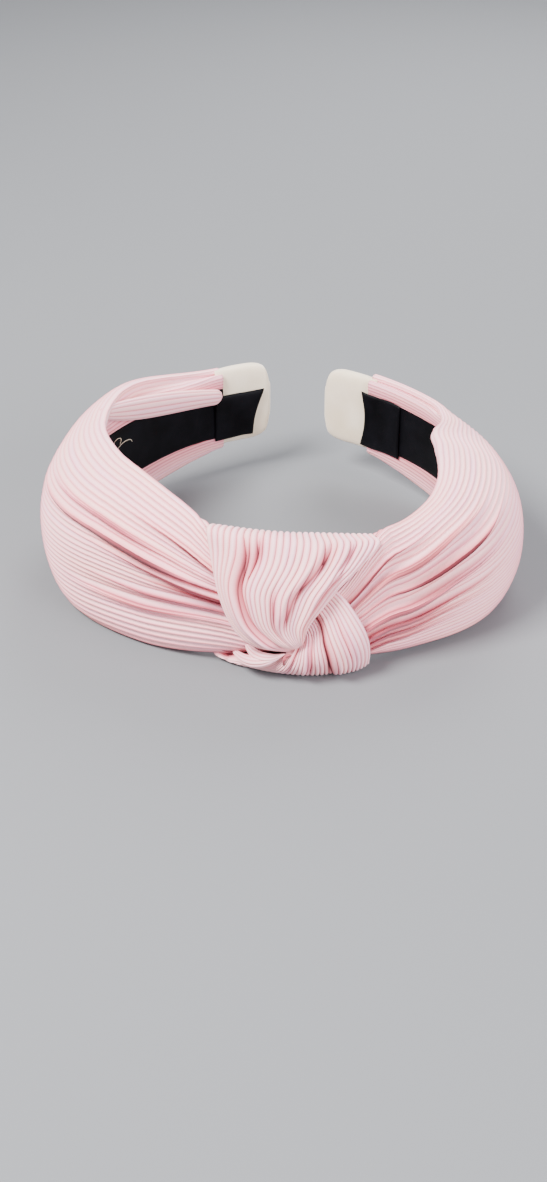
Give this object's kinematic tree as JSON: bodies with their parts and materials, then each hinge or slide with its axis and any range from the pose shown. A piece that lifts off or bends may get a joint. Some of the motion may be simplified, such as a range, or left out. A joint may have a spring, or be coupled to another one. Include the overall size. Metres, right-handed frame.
{
  "type": "knotted headband",
  "caption": "Springy C-shaped headband: a padded plastic strip in ribbed fabric, knotted at the crown, with a ribbon lining and soft tip covers.",
  "frame": {"origin": "centre of the bounding box's bottom: the band stands on its lower rim", "axes": "+X across the band to the wearer's left or right arm, +Y from the knot at the crown to the two tips, +Z along the band's width, up"},
  "size_m": [0.1488, 0.1366, 0.047],
  "materials": {
    "ribbed_fabric": "soft ribbed knit, blush pink",
    "tip_fabric": "brushed, ivory",
    "ribbon": "satin weave, black",
    "tape": "double-sided tissue tape",
    "foam": "charcoal open-cell foam sheet",
    "core_plastic": "moulded, satin black"
  },
  "bodies": {
    "crown": {"core_crown": "core_plastic", "lining_crown": "ribbon", "tape_crown_left": "tape", "tape_crown_right": "tape", "foam_crown": "foam", "sleeve_crown_left": "ribbed_fabric", "sleeve_crown_right": "ribbed_fabric", "knot_wrap": "ribbed_fabric", "knot_drape": "ribbed_fabric", "knot_loop": "ribbed_fabric"},
    "left_arm": {"core_arm_left": "core_plastic", "foam_arm_left": "foam", "lining_arm_left": "ribbon", "tape_arm_left": "tape", "sleeve_arm_left": "ribbed_fabric", "tip_cover_left": "tip_fabric", "end_tab_left": "ribbon"},
    "right_arm": {"core_arm_right": "core_plastic", "foam_arm_right": "foam", "lining_arm_right": "ribbon", "tape_arm_right": "tape", "sleeve_arm_right": "ribbed_fabric", "tip_cover_right": "tip_fabric", "end_tab_right": "ribbon"}
  },
  "joints": [
    {"name": "flex_left", "type": "hinge", "parent": "crown", "child": "left_arm", "pos_m": [-0.04808, -0.0328, 0.025], "axis": [0, 0, 1], "range_deg": [-4, 22], "stiffness_Nm_per_rad": 0.5},
    {"name": "flex_right", "type": "hinge", "parent": "crown", "child": "right_arm", "pos_m": [0.04808, -0.0328, 0.025], "axis": [0, 0, -1], "range_deg": [-4, 22], "stiffness_Nm_per_rad": 0.5}
  ]
}
